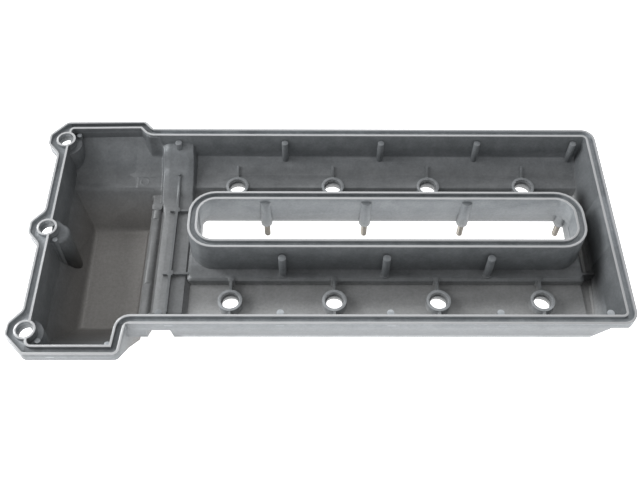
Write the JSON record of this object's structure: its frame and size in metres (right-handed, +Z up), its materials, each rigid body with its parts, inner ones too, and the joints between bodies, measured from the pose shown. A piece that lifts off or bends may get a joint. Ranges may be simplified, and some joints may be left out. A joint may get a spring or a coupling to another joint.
{
  "type": "engine valve cover",
  "caption": "Die-cast valve cover for one bank of a vee engine, open gasket side up, with an oval spark plug well, coil studs and a deep timing end.",
  "frame": {"origin": "middle of the outer box in plan, at the lowest point of the timing pocket's outside", "axes": "+X along the bank from the timing end to the plain end, +Y across it, +Z up through the open gasket side"},
  "size_m": [0.5534, 0.2664, 0.0812],
  "materials": {
    "cast_alloy": "as-cast, satin grey",
    "stud_steel": "plain threaded steel"
  },
  "bodies": {
    "root": {"cover_casting": "cast_alloy", "coil_stud_1": "stud_steel", "coil_stud_2": "stud_steel", "coil_stud_3": "stud_steel", "coil_stud_4": "stud_steel"}
  },
  "joints": []
}
